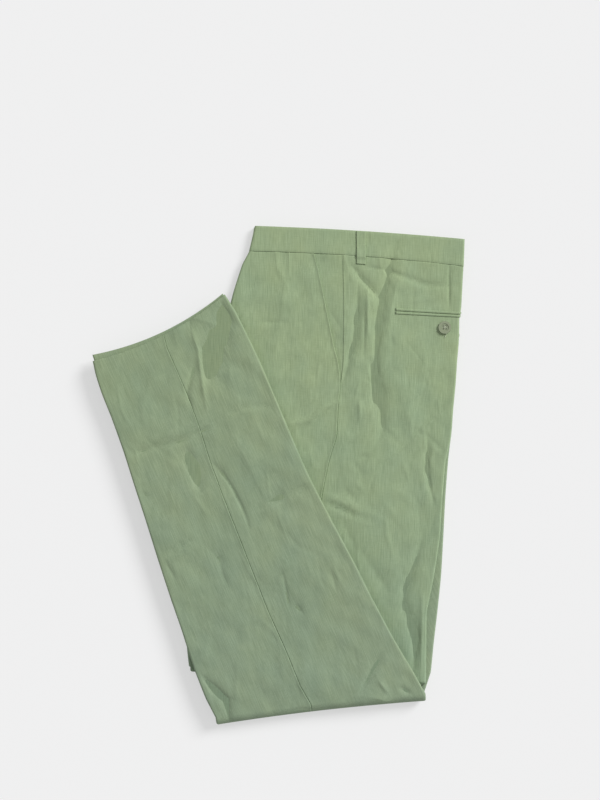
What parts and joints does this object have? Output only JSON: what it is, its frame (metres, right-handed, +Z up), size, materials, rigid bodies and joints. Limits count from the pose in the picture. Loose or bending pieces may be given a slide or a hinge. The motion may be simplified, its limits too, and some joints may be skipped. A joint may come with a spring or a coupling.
{
  "type": "folded chinos",
  "caption": "Linen chinos pressed along the leg creases, laid on one side and folded up at the knee",
  "frame": {"origin": "centre of the outline, on the table", "axes": "+X across the legs towards the back crease, +Y towards the waist, +Z up"},
  "size_m": [0.4652, 0.6244, 0.0226],
  "materials": {
    "linen": "plain woven linen, sage green, matt",
    "button": "dark green-grey resin, satin"
  },
  "bodies": {
    "root": {"left_front": "linen", "left_back": "linen", "pocket_facing": "linen", "waistband_left": "linen", "waistband_right": "linen", "belt_loop": "linen", "welt_upper": "linen", "welt_lower": "linen", "pocket_button_left": "button", "pocket_button_right": "button", "right_front": "linen", "right_back": "linen", "hidden_layers": "linen"}
  },
  "joints": []
}
